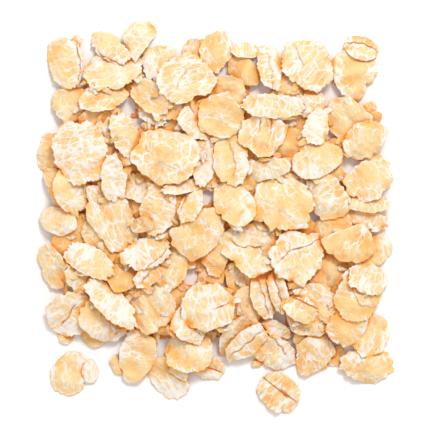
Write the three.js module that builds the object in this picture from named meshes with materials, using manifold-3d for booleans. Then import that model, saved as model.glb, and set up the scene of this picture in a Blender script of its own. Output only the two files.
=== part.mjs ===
// A loose heap of rolled wheat flakes, poured out on a flat surface, with two flakes lying apart from it.
// Millimetres. +X is to the right, +Y away from the viewer, +Z up. The origin is on the surface, under
// the middle of the whole. Each flake is a steamed and rolled kernel: a thin, uneven, slightly bent disc.

import * as THREE from 'three';
import Module from 'manifold-3d';

// ---- Driving dimensions, mm -------------------------------------------------------------------------

const FLAKE_THICKNESS = 0.7;     // a rolled flake at its middle
const RIM_THICKNESS = 0.5;       // the same flake at its rim
const PRESS = 0.1;               // how far a flake presses into what it lies on
const FUSE_DEPTH = 0.3;          // added under each flake of the heap, so that it joins what it lies on
const CORE_HEIGHT = 1.2;         // depth of the hidden flakes that the ones which show lie on
const CORE_SQUARE = 5;           // the core's outline is a superellipse, where 2 is an ellipse
const CORE_SIDES = 28;
const GAP_SIDES = 6;
const STEEPEST = 0.4;            // rise over run of the most tilted flake
const SLOPE_STEPS = 8;           // tried slopes each way, up and down
const CELL = 0.4;                // cell of the height map that the flakes settle on
const CRUMB_LENGTH = 4.5;        // shorter pieces are crumbs
const CRUMB_SIDES = 7;
const SMALL_LENGTH = 8.5;        // whole flakes are longer
const SMALL_SIDES = 8;
const FLAKE_SIDES = 12;
const SPINE = 0.42;              // where a flake's two inner points lie, as a share of its half length
const LOBES = 0.07;              // how uneven an outline is
const HEAP_COLOUR = 0xf9cf92;
const STRAY_COLOUR = 0xfbd9a0;
const ROUGHNESS = 0.85;

// How each kind of flake is bent. square: its outline, where 2 is an ellipse and more is boxier.
// dish: rise of the whole rim, mm. curl: rise of the two long sides, mm. fold: depth of the crease, mm.
const KINDS = {
  smooth: { square: 2.2, dish: -0.35, curl: 0.15, fold: 0 },
  crazed: { square: 2.5, dish: -0.3, curl: 0.1, fold: 0 },
  streaked: { square: 2.3, dish: 0.1, curl: 0.35, fold: 0 },
  radial: { square: 2.3, dish: -0.55, curl: 0, fold: 0 },
  creased: { square: 2.2, dish: -0.2, curl: 0, fold: 0.55 },
  starchy: { square: 2.6, dish: 0.15, curl: 0.3, fold: 0 },
};

// Each flake of the heap, from the lowest to the highest: across, away, length, width, turn in degrees
// from +X towards +Y, and kind, then for some what is its own. square: its squareness. taper: above 0
// where the far end is the wider. cuts: straight broken edges, each with the direction that it faces in
// degrees from +X and its distance from the flake's middle. A flake settles on the ones before it.
const LOWEST = [
  // far side
  [-28.0, 35.0, 3.2, 2.6, 60, 'starchy'],
  [-3.8, 33.4, 5.6, 4.8, 0, 'starchy'],
  [5.8, 29.2, 7.6, 4.8, -35, 'smooth'],
  [2.6, 25.0, 7.6, 6.0, -20, 'streaked'],
  [14.6, 26.0, 5.6, 4.8, 0, 'smooth'],
  [27.7, 28.4, 9.6, 9.4, 80, 'radial',
    { square: 2.8, taper: 0.12, cuts: [[-32, 3.7], [5, 4.5], [203, 4.0]] }],
  [17.4, 18.4, 5.2, 4.8, 0, 'starchy'],
  [30.8, 21.8, 3.6, 2.4, 25, 'smooth'],
  [32.2, 20.2, 2.8, 2.0, 0, 'smooth'],
  [-28.6, 22.4, 8.8, 6.8, -10, 'crazed', { cuts: [[180, 3.8]] }],
  [-23.0, 19.6, 9.2, 5.6, 15, 'smooth'],
  [-13.2, 18.0, 3.6, 2.4, -10, 'smooth'],
  [-8.2, 19.0, 4.4, 4.0, 0, 'starchy'],
  [-7.0, 22.0, 5.2, 3.6, 15, 'smooth'],
  [14.8, 14.4, 5.6, 4.4, 0, 'smooth'],
  // left
  [-21.0, 14.0, 8.0, 5.6, 100, 'starchy'],
  [-33.0, 12.8, 7.6, 5.2, 80, 'starchy'],
  [-31.4, 5.4, 9.2, 6.0, 118, 'smooth', { cuts: [[202, 1.9]] }],
  [-28.2, -4.0, 8.8, 6.4, 60, 'smooth'],
  [-22.8, -4.4, 7.2, 4.4, -55, 'smooth'],
  [-24.0, 7.6, 3.2, 2.0, 0, 'smooth'],
  [-17.2, 10.8, 3.2, 2.2, -40, 'smooth'],
  [-13.6, 3.2, 5.6, 4.0, 70, 'smooth'],
  [-13.4, -3.8, 2.8, 1.6, 0, 'starchy'],
  [-32.6, -9.8, 10.0, 4.8, 107, 'streaked', { cuts: [[95, 4.4], [214, 2.6]] }],
  [-26.6, -12.6, 8.0, 5.2, -45, 'crazed'],
  // middle
  [-8.6, -1.2, 4.8, 4.0, 35, 'smooth'],
  [-7.4, 2.8, 6.0, 4.4, 70, 'smooth'],
  [-5.0, -9.2, 2.8, 2.4, 0, 'starchy'],
  [-0.8, -12.4, 5.6, 4.0, 20, 'starchy'],
  [-0.2, -7.0, 8.0, 4.4, 95, 'smooth'],
  [4.6, -13.2, 8.8, 4.4, 105, 'streaked'],
  [14.8, 10.2, 3.2, 2.4, 0, 'smooth'],
  // right
  [22.6, 8.2, 2.8, 2.0, 0, 'smooth'],
  [29.6, -0.6, 8.4, 4.8, -10, 'starchy'],
  [23.6, -1.9, 8.0, 5.0, 25, 'smooth'],
  [32.2, -6.8, 7.2, 6.0, 15, 'crazed', { cuts: [[0, 3.2]] }],
  [21.8, -11.2, 6.4, 4.8, 30, 'smooth'],
  [17.6, -13.8, 3.2, 2.4, 0, 'starchy'],
  [14.8, -13.4, 3.6, 2.8, 0, 'starchy'],
  // near side
  [-30.2, -23.4, 4.4, 3.2, -70, 'crazed'],
  [-24.5, -24.2, 5.2, 3.6, -25, 'smooth'],
  [-8.6, -17.6, 8.8, 6.4, 80, 'smooth'],
  [-10.2, -22.4, 3.4, 2.2, 0, 'smooth'],
  [1.4, -21.2, 2.8, 2.0, 0, 'starchy'],
  [5.8, -18.6, 7.2, 5.6, 70, 'smooth'],
  [12.4, -22.6, 6.0, 3.2, -30, 'starchy'],
  [8.4, -29.4, 2.4, 1.6, 0, 'smooth'],
  [17.2, -25.2, 4.8, 2.8, -65, 'smooth'],
  [24.2, -27.8, 4.4, 3.6, 60, 'starchy'],
  [21.2, -29.8, 3.2, 2.0, 0, 'smooth'],
  [30.2, -30.0, 10.8, 6.8, 2, 'radial', { cuts: [[225, 3.8]] }],
  [-19.6, -29.6, 4.4, 2.8, -60, 'smooth'],
  [-9.6, -32.2, 9.6, 6.8, -40, 'streaked', { cuts: [[214, 2.9]] }],
];

const LOW = [
  // far side
  [-29.6, 30.8, 10.8, 7.6, 100, 'smooth', { cuts: [[-5, 3.1]] }],
  [-0.2, 33.2, 9.4, 7.4, 100, 'streaked', { taper: 0.2, cuts: [[-43, 3.4], [134, 2.9], [180, 2.8]] }],
  [6.0, 33.4, 5.6, 3.2, 0, 'starchy'],
  [29.4, 33.8, 7.2, 4.8, -15, 'creased'],
  [19.4, 22.6, 6.0, 4.8, 60, 'crazed'],
  [26.8, 19.4, 10.8, 8.4, -60, 'streaked', { cuts: [[80, 4.3]] }],
  [-22.0, 23.8, 10.4, 5.2, 8, 'streaked', { cuts: [[-39, 3.2]] }],
  [-12.6, 20.0, 6.0, 2.8, -25, 'starchy'],
  [-17.8, 16.2, 9.6, 5.2, 108, 'crazed'],
  // left and middle
  [-31.4, -0.8, 8.0, 5.4, -18, 'smooth'],
  [-14.8, 5.8, 5.6, 4.0, -10, 'starchy'],
  [-11.2, 1.8, 8.0, 4.8, 80, 'crazed'],
  [-8.6, -10.2, 8.8, 6.0, 70, 'streaked'],
  [1.4, -15.8, 4.4, 4.0, 0, 'crazed'],
  // right
  [29.6, 3.0, 9.6, 3.6, -8, 'crazed'],
  [22.6, 3.8, 9.2, 7.6, -60, 'crazed'],
  // near side
  [-29.6, -19.8, 10.8, 8.4, 58, 'creased', { cuts: [[233, 3.7]] }],
  [31.2, -23.8, 9.2, 6.8, 65, 'streaked', { cuts: [[5, 3.4]] }],
  [9.6, -15.8, 9.2, 4.8, 107, 'creased'],
  [11.8, -27.4, 9.2, 6.8, -40, 'creased', { cuts: [[272, 3.3]] }],
  [19.8, -27.8, 9.4, 7.8, 35, 'smooth', { cuts: [[-55, 2.9], [180, 3.4]] }],
  [-15.4, -28.0, 10.8, 8.0, 85, 'smooth', { cuts: [[-36, 3.4]] }],
  [-7.4, -31.0, 4.8, 2.4, -40, 'starchy'],
  [-1.4, -30.1, 6.6, 4.8, -20, 'creased'],
];

const MIDDLE = [
  [-20.6, 29.2, 12.0, 7.2, 8, 'streaked'],
  [11.0, 29.8, 9.6, 4.8, 98, 'creased'],
  [-12.8, 24.0, 9.2, 5.6, -38, 'streaked'],
  [-28.8, 5.2, 8.8, 6.0, 115, 'smooth'],
  [-22.4, -20.6, 9.6, 7.2, -35, 'smooth'],
  [-13.0, -18.0, 9.2, 8.0, -60, 'streaked'],
  [-3.4, -3.6, 11.6, 9.2, 12, 'crazed', { cuts: [[-27, 4.0], [232, 4.7], [139, 4.5]] }],
  [30.2, 8.2, 10.2, 9.4, 35, 'crazed', { square: 2.3, cuts: [[130, 2.6]] }],
  [19.4, -18.8, 10.8, 10.0, 40, 'smooth', { cuts: [[270, 5.0]] }],
  [12.6, -14.8, 8.8, 4.0, 105, 'creased'],
  [-5.0, -27.0, 10.4, 7.6, 5, 'smooth', { cuts: [[-5, 4.3]] }],
  [-21.0, 33.8, 9.2, 5.6, -38, 'crazed', { cuts: [[180, 3.6], [45, 2.2], [246, 2.3]] }],
  [-11.0, 31.0, 7.6, 7.2, 20, 'crazed'],
  [30.2, 15.2, 9.6, 7.6, 20, 'smooth', { cuts: [[0, 4.3], [-40, 3.1]] }],
  [-26.8, 12.8, 11.6, 9.2, 100, 'crazed'],
  [-20.6, -17.2, 10.4, 4.8, -45, 'starchy'],
  [-5.2, -21.4, 8.0, 6.8, 100, 'creased', { cuts: [[242, 3.2]] }],
  [-4.6, 2.4, 7.6, 4.4, 60, 'creased', { cuts: [[0, 2.1]] }],
  [7.4, -6.6, 10.0, 9.6, -8, 'creased', { cuts: [[227, 4.3]] }],
  [26.4, -21.6, 10.0, 7.6, 55, 'smooth', { cuts: [[231, 4.1]] }],
  [17.2, -18.4, 7.2, 4.8, -30, 'creased'],
];

const HIGH = [
  [-15.4, 35.4, 8.4, 6.4, 80, 'crazed',
    { square: 2.2, taper: 0.35, cuts: [[-25, 2.3], [90, 3.7], [204, 2.9], [142, 3.0]] }],
  [-19.0, -12.2, 6.8, 5.2, 5, 'smooth', { cuts: [[207, 2.4]] }],
  [-1.4, -18.0, 10.4, 8.4, 10, 'crazed'],
  [-6.6, 6.0, 7.2, 2.4, 10, 'starchy'],
  [17.0, -7.8, 10.8, 10.0, 25, 'creased', { cuts: [[-29, 4.4]] }],
  [28.4, -16.0, 10.4, 8.4, 70, 'smooth'],
  [-25.0, -8.8, 10.8, 5.6, -28, 'crazed'],
  [-13.4, -11.6, 5.6, 4.0, 45, 'creased'],
  [-2.0, 11.0, 8.8, 4.0, 85, 'starchy'],
  [13.4, 2.8, 11.2, 10.8, 0, 'radial'],
  [30.4, -12.2, 8.0, 6.0, -25, 'starchy'],
  [3.8, -23.8, 8.4, 4.4, 55, 'streaked'],
];

const HIGHEST = [
  [-10.0, 12.2, 12.8, 10.8, -10, 'radial'],
  [-21.0, -0.2, 14.0, 8.8, 112, 'streaked', { cuts: [[217, 3.7]] }],
  [-13.8, -7.2, 8.8, 6.0, 20, 'crazed'],
  [3.8, 2.6, 9.2, 8.0, -40, 'smooth'],
  [10.6, 9.6, 8.4, 4.0, 15, 'crazed'],
  [20.6, 11.2, 10.8, 7.2, 5, 'smooth', { cuts: [[-52, 3.2]] }],
  [26.4, -4.8, 10.8, 8.4, -20, 'smooth', { cuts: [[112, 2.5]] }],
  [6.3, -25.2, 9.8, 5.2, 40, 'creased'],
  [20.3, 18.2, 7.6, 4.6, 75, 'starchy', { taper: -0.25 }],
  [-3.6, 19.0, 7.2, 6.0, -50, 'starchy'],
  [-20.2, 7.8, 8.8, 4.8, 95, 'starchy'],
  [-14.6, -1.6, 4.4, 3.2, 10, 'smooth'],
  [3.2, 11.4, 9.4, 6.8, 95, 'creased'],
  [1.4, 20.4, 10.0, 9.2, -10, 'streaked', { cuts: [[41, 3.7]] }],
  [-5.0, 27.8, 12.4, 10.0, 20, 'streaked', { cuts: [[36, 4.1], [0, 5.3]] }],
  [10.2, 15.8, 10.0, 8.4, -20, 'streaked', { cuts: [[-37, 3.0]] }],
  [11.4, 22.2, 12.4, 4.8, -3, 'starchy'],
  [18.4, 30.4, 11.4, 10.7, -45, 'crazed', { cuts: [[222, 4.3], [-45, 5.3]] }],
];

// How much wider than its row a flake in the heap's middle is, from the lowest table to the highest.
// A row gives what shows of the flake, which runs on under its neighbours.
const RUNS_UNDER = [0.5, 0.4, 0.25, 0.1, 0.05];

// The hidden flakes in the middle of the heap, as low slabs: across, away, half across and half away.
const CORES = [
  [0, 3.0, 31.5, 28.0],
  [-4.5, -27.0, 3.6, 3.2],
];

// Where the heap is open down to the surface: across, away and radius.
const FLOOR_GAPS = [
  [-18.0, 22.4, 1.7],
  [1.3, 28.4, 1.5],
  [8.6, 25.5, 1.6],
  [13.8, 28.6, 1.1],
  [5.0, 21.6, 1.2],
  [22.7, 24.4, 2.0],
  [23.0, 17.2, 1.3],
  [27.0, 10.4, 1.5],
  [-15.3, 18.8, 0.8],
  [-1.5, 4.1, 1.1],
  [19.8, 0.2, 0.9],
  [-5.0, -11.9, 1.3],
  [2.2, -12.5, 1.1],
  [12.7, -20.5, 1.3],
  [-28.4, -13.4, 1.0],
];

// The two flakes that lie apart, on the bare surface.
const STRAYS = {
  stray_flake_left: [-28.2, -31.6, 9.8, 9.0, -5, 'smooth', { cuts: [[-61, 3.5]] }],
  stray_flake_front: [12.8, -35.3, 9.0, 7.4, -40, 'creased', { cuts: [[221, 3.5], [0, 4.2]] }],
};

// ---- The form of one flake --------------------------------------------------------------------------

// A number from 0 to 1 that is always the same for the same flake and term.
function chance(seed, term) {
  const wave = Math.sin(seed * 12.9898 + term * 78.233) * 43758.5453;
  return wave - Math.floor(wave);
}

// Reads one row of the tables above into named values.
function readFlake(row) {
  const [x, y, length, width, turn, kind, own = {}] = row;
  const form = KINDS[kind];
  const { square = form.square, taper = 0, cuts = [] } = own;
  const seed = 10 * length + width + turn / 10;
  const vary = 0.6 + 0.8 * chance(seed, 1);
  return {
    seed, x, y, length, width,
    cos: Math.cos(THREE.MathUtils.degToRad(turn)),
    sin: Math.sin(THREE.MathUtils.degToRad(turn)),
    square,
    taper,
    cuts: cuts.map(([facing, distance]) => {
      const off = THREE.MathUtils.degToRad(facing - turn);
      return { along: (Math.cos(off) * length) / 2, across: (Math.sin(off) * width) / 2, distance };
    }),
    dish: form.dish * vary,
    curl: form.curl * vary,
    fold: form.fold * vary,
    tilt: { level: 0, alongX: 0, alongY: 0 },
  };
}

// How far the outline is from the middle in a direction, where 1 is a plain ellipse: a superellipse
// with three slow waves round it, and no further than its straight broken edges.
function reach(flake, angle) {
  const c = Math.abs(Math.cos(angle)) ** flake.square;
  const s = Math.abs(Math.sin(angle)) ** flake.square;
  let waves = 1;
  for (let turns = 2; turns <= 4; turns += 1) {
    const size = (LOBES * (2 * chance(flake.seed, turns + 1) - 1)) / (turns - 1);
    waves += size * Math.cos(turns * angle + 2 * Math.PI * chance(flake.seed, turns + 4));
  }
  let far = waves * (c + s) ** (-1 / flake.square);
  for (const { along, across, distance } of flake.cuts) {
    const facing = along * Math.cos(angle) + across * Math.sin(angle);
    if (facing > 0) far = Math.min(far, distance / facing);
  }
  return far;
}

// Rise of the flake's middle surface over flat, at p along and q across in half sizes.
function bend(flake, p, q) {
  return flake.dish * (p * p + q * q) + flake.curl * q * q + flake.fold * (Math.abs(q) - 0.5);
}

// From half sizes to the place on the ground plan.
function place(flake, p, q) {
  const along = (p * flake.length) / 2;
  const across = (q * (1 + flake.taper * p) * flake.width) / 2;
  return [
    flake.x + along * flake.cos - across * flake.sin,
    flake.y + along * flake.sin + across * flake.cos,
  ];
}

// From a place on the ground plan back to half sizes.
function unplace(flake, x, y) {
  const along = (x - flake.x) * flake.cos + (y - flake.y) * flake.sin;
  const across = (y - flake.y) * flake.cos - (x - flake.x) * flake.sin;
  const p = (2 * along) / flake.length;
  const q = (2 * across) / (flake.width * (1 + flake.taper * p));
  return [p, q];
}

// Height of the settled flake's middle surface.
function middleHeight(flake, p, q) {
  const [x, y] = place(flake, p, q);
  const { level, alongX, alongY } = flake.tilt;
  return level + alongX * (x - flake.x) + alongY * (y - flake.y) + bend(flake, p, q);
}

// ---- How the flakes lie on each other ---------------------------------------------------------------

const MAP_HALF = 46;
const MAP_SIDE = Math.round((2 * MAP_HALF) / CELL);
const ground = new Float64Array(MAP_SIDE * MAP_SIDE);

const middleOf = (cell) => (cell + 0.5) * CELL - MAP_HALF;

// How far out a place is on a slab of the core, where 1 is its outline.
function outOnCore([middleX, middleY, halfX, halfY], x, y) {
  const outX = Math.abs((x - middleX) / halfX) ** CORE_SQUARE;
  const outY = Math.abs((y - middleY) / halfY) ** CORE_SQUARE;
  return (outX + outY) ** (1 / CORE_SQUARE);
}

// Widens a flake that runs on under others, less towards the heap's outline and never over an open gap.
// Its straight broken edges stay where they are.
function widen(flake, share) {
  const inward = 1 - Math.min(1, outOnCore(CORES[0], flake.x, flake.y)) ** 4;
  const clear = FLOOR_GAPS.map(([x, y, radius]) => Math.hypot(x - flake.x, y - flake.y) - radius);
  const most = Math.min(...clear) / (flake.length / 2);
  const wider = Math.max(1, Math.min(1 + share * inward, most));
  flake.length *= wider;
  flake.width *= wider;
  for (const cut of flake.cuts) {
    cut.along *= wider;
    cut.across *= wider;
  }
}

// Puts the core on the height map.
function layCore() {
  for (let row = 0; row < MAP_SIDE; row += 1) {
    for (let column = 0; column < MAP_SIDE; column += 1) {
      const x = middleOf(column);
      const y = middleOf(row);
      const filled = CORES.some((core) => outOnCore(core, x, y) < 1);
      const open = FLOOR_GAPS.some(([gapX, gapY, radius]) => Math.hypot(x - gapX, y - gapY) < radius);
      ground[row * MAP_SIDE + column] = filled && !open ? CORE_HEIGHT : 0;
    }
  }
}

// The cells of the height map under a flake's outline.
function cellsUnder(flake) {
  const cells = [];
  const far = 0.7 * flake.length;
  const first = (v) => Math.max(0, Math.floor((v - far + MAP_HALF) / CELL));
  const last = (v) => Math.min(MAP_SIDE - 1, Math.ceil((v + far + MAP_HALF) / CELL));
  for (let row = first(flake.y); row <= last(flake.y); row += 1) {
    for (let column = first(flake.x); column <= last(flake.x); column += 1) {
      const x = middleOf(column);
      const y = middleOf(row);
      const [p, q] = unplace(flake, x, y);
      if (Math.hypot(p, q) <= reach(flake, Math.atan2(q, p))) {
        const index = row * MAP_SIDE + column;
        cells.push({ index, dx: x - flake.x, dy: y - flake.y, rise: bend(flake, p, q) });
      }
    }
  }
  return cells;
}

// Tips the flake so that its middle lies as low as what is under it allows, then adds it to the map.
function settle(flake) {
  const cells = cellsUnder(flake);
  let lowest = Infinity;
  for (let i = -SLOPE_STEPS; i <= SLOPE_STEPS; i += 1) {
    for (let j = -SLOPE_STEPS; j <= SLOPE_STEPS; j += 1) {
      const alongX = (STEEPEST * i) / SLOPE_STEPS;
      const alongY = (STEEPEST * j) / SLOPE_STEPS;
      let level = -Infinity;
      for (const cell of cells) {
        const rest = ground[cell.index] - alongX * cell.dx - alongY * cell.dy - cell.rise;
        level = Math.max(level, rest);
      }
      if (level < lowest - 1e-6) {
        lowest = level;
        flake.tilt = { level, alongX, alongY };
      }
    }
  }
  flake.tilt.level += FLAKE_THICKNESS / 2 - PRESS;
  for (const cell of cells) {
    const { level, alongX, alongY } = flake.tilt;
    const top = level + alongX * cell.dx + alongY * cell.dy + cell.rise + FLAKE_THICKNESS / 2;
    ground[cell.index] = Math.max(ground[cell.index], top);
  }
}

// ---- Solids -----------------------------------------------------------------------------------------

const wasm = await Module();
wasm.setup();

function toSolid(points, faces) {
  return new wasm.Manifold(new wasm.Mesh({
    numProp: 3,
    vertProperties: new Float32Array(points.flat()),
    triVerts: new Uint32Array(faces.flat()),
  }));
}

function sidesOf(flake) {
  if (flake.length < CRUMB_LENGTH) return CRUMB_SIDES;
  return flake.length < SMALL_LENGTH ? SMALL_SIDES : FLAKE_SIDES;
}

// One flake: an upper and a lower face, each a fan about two inner points, and the rim between them.
// It reaches deeper by the given depth, but not below the surface that the heap lies on.
function flakeSolid(flake, depth) {
  const sides = sidesOf(flake);
  const points = [];
  const faces = [];
  const addPoint = (p, q, thickness) => {
    const [x, y] = place(flake, p, q);
    const height = middleHeight(flake, p, q);
    const under = Math.max(0, height - thickness / 2 - depth);
    points.push([x, y, Math.max(height, under) + thickness / 2], [x, y, under]);
  };
  for (let side = 0; side < sides; side += 1) {
    const angle = (2 * Math.PI * side) / sides;
    const far = reach(flake, angle);
    addPoint(far * Math.cos(angle), far * Math.sin(angle), RIM_THICKNESS);
  }
  addPoint(SPINE, 0, FLAKE_THICKNESS);
  addPoint(-SPINE, 0, FLAKE_THICKNESS);
  const top = (n) => 2 * n;
  const under = (n) => 2 * n + 1;
  const inner = (n) => (Math.cos((2 * Math.PI * n) / sides) > 0.01 ? sides : sides + 1);
  for (let side = 0; side < sides; side += 1) {
    const next = (side + 1) % sides;
    const near = inner(side);
    const other = inner(next);
    faces.push([top(side), top(next), top(near)], [under(next), under(side), under(near)]);
    if (near !== other) {
      faces.push([top(next), top(other), top(near)], [under(other), under(next), under(near)]);
    }
    faces.push([top(side), under(side), under(next)], [top(side), under(next), top(next)]);
  }
  return toSolid(points, faces);
}

// An upright prism with an outline that is nowhere hollow.
function prism(outline, low, high) {
  const points = outline.flatMap(([x, y]) => [[x, y, high], [x, y, low]]);
  const faces = [];
  for (let side = 0; side < outline.length; side += 1) {
    const here = 2 * side;
    const next = 2 * ((side + 1) % outline.length);
    faces.push([here, here + 1, next + 1], [here, next + 1, next]);
    if (side > 0 && next > 0) {
      faces.push([0, here, next], [1, next + 1, here + 1]);
    }
  }
  return toSolid(points, faces);
}

// The corners of an outline that is given by the place that it reaches in each direction.
function cornersOf(sides, placeAt) {
  return Array.from({ length: sides }, (_, side) => placeAt((2 * Math.PI * (side + 0.5)) / sides));
}

// The hidden flakes in the middle of the heap: slabs that are open at the gaps.
function coreSolid() {
  const slabs = CORES.map((core) => {
    const [middleX, middleY, halfX, halfY] = core;
    const corners = cornersOf(CORE_SIDES, (angle) => {
      const x = halfX * Math.cos(angle);
      const y = halfY * Math.sin(angle);
      const out = outOnCore(core, middleX + x, middleY + y);
      return [middleX + x / out, middleY + y / out];
    });
    return prism(corners, 0, CORE_HEIGHT);
  });
  const holes = FLOOR_GAPS.map(([x, y, radius]) => {
    const cornerAt = (angle) => [x + radius * Math.cos(angle), y + radius * Math.sin(angle)];
    return prism(cornersOf(GAP_SIDES, cornerAt), -CORE_HEIGHT, 2 * CORE_HEIGHT);
  });
  return wasm.Manifold.union(slabs).subtract(wasm.Manifold.union(holes));
}

// Joins the solids. Only the outer skin is kept: sealed hollows are filled and loose scraps dropped.
function fuse(solids) {
  const joined = wasm.Manifold.union(solids);
  const bodies = joined.decompose().sort((a, b) => b.volume() - a.volume());
  return bodies[0];
}

function toMesh(name, solid, colour) {
  const { numProp, vertProperties, triVerts } = solid.getMesh();
  const geometry = new THREE.BufferGeometry();
  const positions = new THREE.InterleavedBuffer(vertProperties, numProp);
  geometry.setAttribute('position', new THREE.InterleavedBufferAttribute(positions, 3, 0));
  geometry.setIndex(new THREE.BufferAttribute(triVerts, 1));
  const material = new THREE.MeshStandardMaterial({ color: colour, roughness: ROUGHNESS, metalness: 0 });
  const mesh = new THREE.Mesh(geometry, material);
  mesh.name = name;
  return mesh;
}

// ---- The heap and the flakes beside it --------------------------------------------------------------

const heapFlakes = [];
layCore();
[LOWEST, LOW, MIDDLE, HIGH, HIGHEST].forEach((rows, level) => {
  for (const row of rows) {
    const flake = readFlake(row);
    widen(flake, RUNS_UNDER[level]);
    settle(flake);
    heapFlakes.push(flake);
  }
});
const heap = fuse([coreSolid(), ...heapFlakes.map((flake) => flakeSolid(flake, FUSE_DEPTH))]);

const group = new THREE.Group();
group.add(toMesh('flake_heap', heap, HEAP_COLOUR));
for (const [name, row] of Object.entries(STRAYS)) {
  const flake = readFlake(row);
  ground.fill(0);
  settle(flake);
  group.add(toMesh(name, flakeSolid(flake, 0), STRAY_COLOUR));
}

export default group;
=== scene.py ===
"""A loose heap of rolled wheat flakes on a white surface, seen from straight above.

Sizes are in millimetres until a mesh is made. +X is to the right, +Y away from the viewer, +Z up.
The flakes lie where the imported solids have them: the same rows settle on each other by the same rule.
"""

from types import SimpleNamespace

import bpy
import numpy as np
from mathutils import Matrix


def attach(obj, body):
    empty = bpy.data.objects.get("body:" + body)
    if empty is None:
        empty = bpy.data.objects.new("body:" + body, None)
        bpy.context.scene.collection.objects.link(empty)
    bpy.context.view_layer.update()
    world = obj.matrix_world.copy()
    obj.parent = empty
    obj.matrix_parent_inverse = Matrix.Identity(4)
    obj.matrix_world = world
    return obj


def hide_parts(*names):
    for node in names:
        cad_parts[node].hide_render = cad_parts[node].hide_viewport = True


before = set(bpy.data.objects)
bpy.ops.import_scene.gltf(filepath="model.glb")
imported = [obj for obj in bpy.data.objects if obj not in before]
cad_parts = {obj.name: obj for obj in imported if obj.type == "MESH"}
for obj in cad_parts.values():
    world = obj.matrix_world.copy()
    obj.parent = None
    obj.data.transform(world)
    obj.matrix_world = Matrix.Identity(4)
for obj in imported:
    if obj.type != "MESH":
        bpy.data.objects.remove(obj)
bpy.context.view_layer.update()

MM = 0.001
TAU = 2 * np.pi  # a full turn

# ---- Driving dimensions, mm, the same as the solids have ----

FLAKE_THICKNESS = 0.7  # a rolled flake at its middle
PRESS = 0.1  # how far a flake presses into what it lies on
CORE_HEIGHT = 1.2  # depth of the hidden flakes that the ones which show lie on
CORE_SQUARE = 5  # the core's outline is a superellipse, where 2 is an ellipse
STEEPEST = 0.4  # rise over run of the most tilted flake
SLOPE_STEPS = 8  # tried slopes each way, up and down
CELL = 0.4  # cell of the height map that the flakes settle on
MAP_HALF = 46
LOBES = 0.07  # how uneven an outline is

# How each kind of flake is bent. square: its outline, where 2 is an ellipse and more is boxier.
# dish: rise of the whole rim, mm. curl: rise of the two long sides, mm. fold: depth of the crease, mm.
KINDS = {
    "smooth": dict(square=2.2, dish=-0.35, curl=0.15, fold=0),
    "crazed": dict(square=2.5, dish=-0.3, curl=0.1, fold=0),
    "streaked": dict(square=2.3, dish=0.1, curl=0.35, fold=0),
    "radial": dict(square=2.3, dish=-0.55, curl=0, fold=0),
    "creased": dict(square=2.2, dish=-0.2, curl=0, fold=0.55),
    "starchy": dict(square=2.6, dish=0.15, curl=0.3, fold=0),
}

# ---- The flakes, from the lowest to the highest ----

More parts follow.
